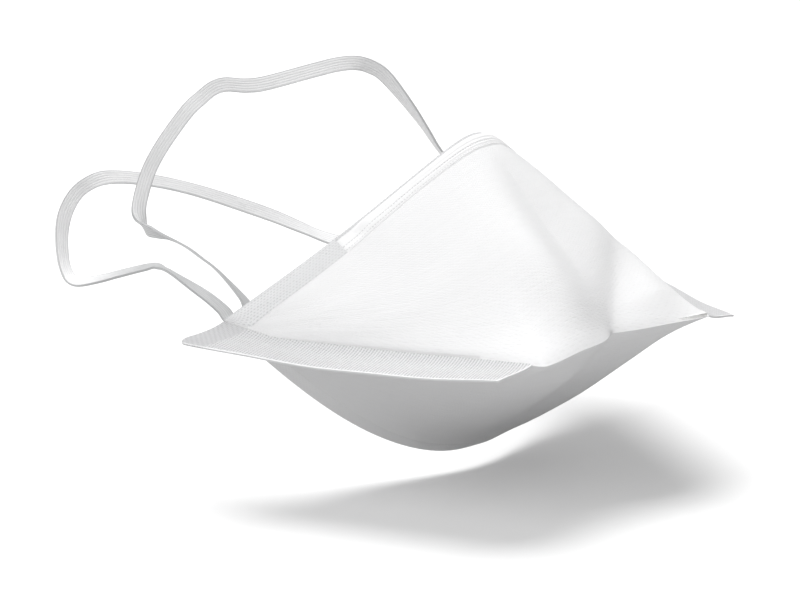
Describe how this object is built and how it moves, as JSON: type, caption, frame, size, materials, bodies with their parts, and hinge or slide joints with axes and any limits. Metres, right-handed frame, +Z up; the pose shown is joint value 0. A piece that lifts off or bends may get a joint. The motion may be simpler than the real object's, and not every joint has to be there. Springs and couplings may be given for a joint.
{
  "type": "disposable dust mask",
  "caption": "Flat-fold pouch respirator of layered nonwoven, open at the back, with pressed side flanges, a bendable nose strip and two elastic headbands.",
  "frame": {"origin": "middle of the face opening, halfway between the nose point and the chin point of the rear edges", "axes": "+X to the wearer's left, -Y the front of the mask with the fold, +Y back to the wearer's head, +Z up to the nose"},
  "size_m": [0.1724, 0.2001, 0.1078],
  "materials": {
    "outer_cover_web": "white spunbond polypropylene nonwoven, matt, with a fine pressed dot pattern",
    "support_nonwoven": "white needled support nonwoven, fluffy and matt",
    "filter_nonwoven": "white melt-blown filter nonwoven, soft and matt",
    "lining_nonwoven": "white spunbond lining, matt and smooth",
    "pressed_seam": "the webs welded into one flat strip with a pressed diagonal hatch",
    "edge_binding": "pale grey-white spunbond folded over the edge, pressed with fine dots",
    "nose_tape": "white nonwoven tape with fine weld lines",
    "wire_sheath": "white extruded polyethylene",
    "wire_core": "soft galvanised steel wire",
    "elastic": "white knitted flat elastic with fine lengthwise ribs",
    "pressed_elastic": "flat elastic pressed thin by the weld"
  },
  "bodies": {
    "mask_body": {"outer_cover": "outer_cover_web", "support_web": "support_nonwoven", "outer_filter_web": "filter_nonwoven", "inner_filter_web": "filter_nonwoven", "inner_lining": "lining_nonwoven", "left_side_seam": "pressed_seam", "right_side_seam": "pressed_seam", "upper_edge_binding": "edge_binding", "lower_edge_binding": "edge_binding", "nose_strip_tape": "nose_tape", "nose_wire_sheath": "wire_sheath", "nose_wire_cores": "wire_core", "upper_band_left_end": "pressed_elastic", "upper_band_right_end": "pressed_elastic", "lower_band_left_end": "pressed_elastic", "lower_band_right_end": "pressed_elastic"},
    "upper_headband": {"upper_headband": "elastic"},
    "lower_headband": {"lower_headband": "elastic"}
  },
  "joints": [
    {"name": "upper_band_swing", "type": "hinge", "parent": "mask_body", "child": "upper_headband", "pos_m": [0, 0.03725, 0.00236], "axis": [1, 0, 0], "range_deg": [-90, 45], "stiffness_Nm_per_rad": 0.004},
    {"name": "lower_band_swing", "type": "hinge", "parent": "mask_body", "child": "lower_headband", "pos_m": [0, 0.04022, -0.00014], "axis": [1, 0, 0], "range_deg": [-90, 60], "stiffness_Nm_per_rad": 0.006}
  ]
}
